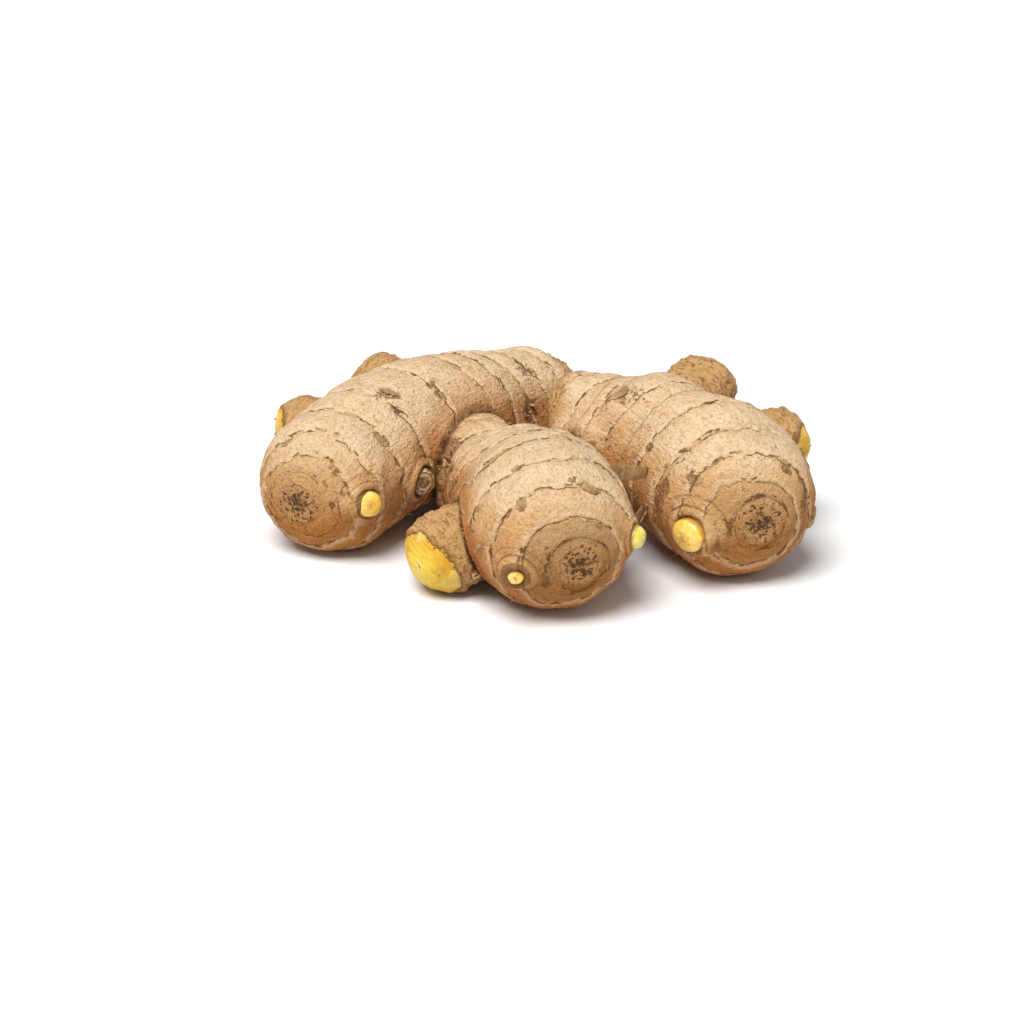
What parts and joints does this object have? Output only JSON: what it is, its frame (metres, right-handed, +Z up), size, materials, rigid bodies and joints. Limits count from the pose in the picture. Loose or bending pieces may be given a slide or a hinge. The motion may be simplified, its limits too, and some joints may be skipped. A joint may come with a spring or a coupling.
{
  "type": "ginger root",
  "caption": "Fresh ginger rhizome of thick, rounded, branching fingers with ringed tan skin, round stem scars and small yellow buds, used whole as a spice or food.",
  "frame": {"origin": "under the middle of the rhizome's outline, on the surface that it lies on", "axes": "+X along its longest side, +Y towards the broken end at the back of the left finger, -Y towards the tips of the fingers, +Z up"},
  "size_m": [0.1406, 0.1254, 0.0414],
  "materials": {
    "ginger_skin": "thin dry matt skin with fine wrinkles and darker rings"
  },
  "bodies": {
    "root": {"ginger_rhizome": "ginger_skin"}
  },
  "joints": []
}
